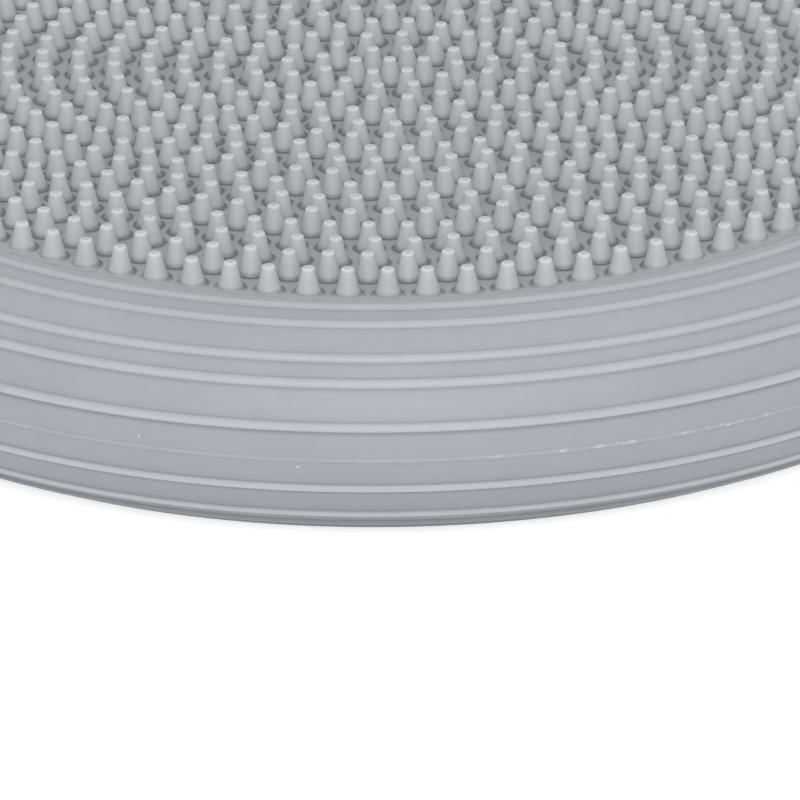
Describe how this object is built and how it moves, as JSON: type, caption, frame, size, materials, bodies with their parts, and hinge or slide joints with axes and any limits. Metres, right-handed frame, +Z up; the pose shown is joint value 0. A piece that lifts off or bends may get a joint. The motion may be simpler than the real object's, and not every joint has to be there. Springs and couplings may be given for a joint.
{
  "type": "inflatable balance cushion",
  "caption": "Round air-filled vinyl balance cushion with pointed nubs on its dished upper face, a ribbed rounded rim wall and a plugged filling valve.",
  "frame": {"origin": "middle of the flattened ring that the cushion stands on", "axes": "+Z up out of the nubbed face, -Y towards the front, +Y towards the filling valve"},
  "size_m": [0.34, 0.3399, 0.0544],
  "materials": {
    "skin_vinyl": "soft satin moulded vinyl",
    "nub_vinyl": "soft satin moulded vinyl",
    "valve_rubber": "soft matt rubber",
    "plug_plastic": "satin moulded plastic"
  },
  "bodies": {
    "base": {"base_face": "skin_vinyl", "base_studs_inner": "skin_vinyl", "base_studs_outer": "skin_vinyl", "lower_shoulder": "skin_vinyl", "lower_wall": "skin_vinyl"},
    "middle": {"seam_band": "skin_vinyl", "valve_bush": "valve_rubber", "valve_core": "plug_plastic"},
    "plug": {"valve_plug": "plug_plastic"},
    "rim": {"upper_wall": "skin_vinyl", "upper_shoulder": "skin_vinyl", "outer_face": "skin_vinyl", "nub_ring_09": "nub_vinyl", "nub_ring_10": "nub_vinyl", "nub_ring_11": "nub_vinyl", "nub_ring_12": "nub_vinyl", "nub_ring_13": "nub_vinyl", "nub_ring_14": "nub_vinyl", "nub_ring_15": "nub_vinyl", "nub_ring_16": "nub_vinyl"},
    "face": {"centre_face": "skin_vinyl", "nub_centre": "nub_vinyl", "nub_ring_01": "nub_vinyl", "nub_ring_02": "nub_vinyl", "nub_ring_03": "nub_vinyl", "nub_ring_04": "nub_vinyl", "nub_ring_05": "nub_vinyl", "nub_ring_06": "nub_vinyl", "nub_ring_07": "nub_vinyl", "nub_ring_08": "nub_vinyl"}
  },
  "joints": [
    {"name": "tilt_side", "type": "hinge", "parent": "base", "child": "middle", "pos_m": [0, 0, 0.0106], "axis": [0, 1, 0], "range_deg": [-4, 4], "stiffness_Nm_per_rad": 600, "deforming": ["lower_wall"]},
    {"name": "tilt_fore_aft", "type": "hinge", "parent": "middle", "child": "rim", "pos_m": [0, 0, 0.0403], "axis": [1, 0, 0], "range_deg": [-4, 4], "stiffness_Nm_per_rad": 600, "deforming": ["upper_wall"]},
    {"name": "face_press", "type": "slide", "parent": "rim", "child": "face", "axis": [0, 0, -1], "range_m": [0, 0.015], "stiffness_N_per_m": 20000},
    {"name": "plug_pull", "type": "slide", "parent": "middle", "child": "plug", "axis": [0, 1, 0], "range_m": [0, 0.014]}
  ]
}
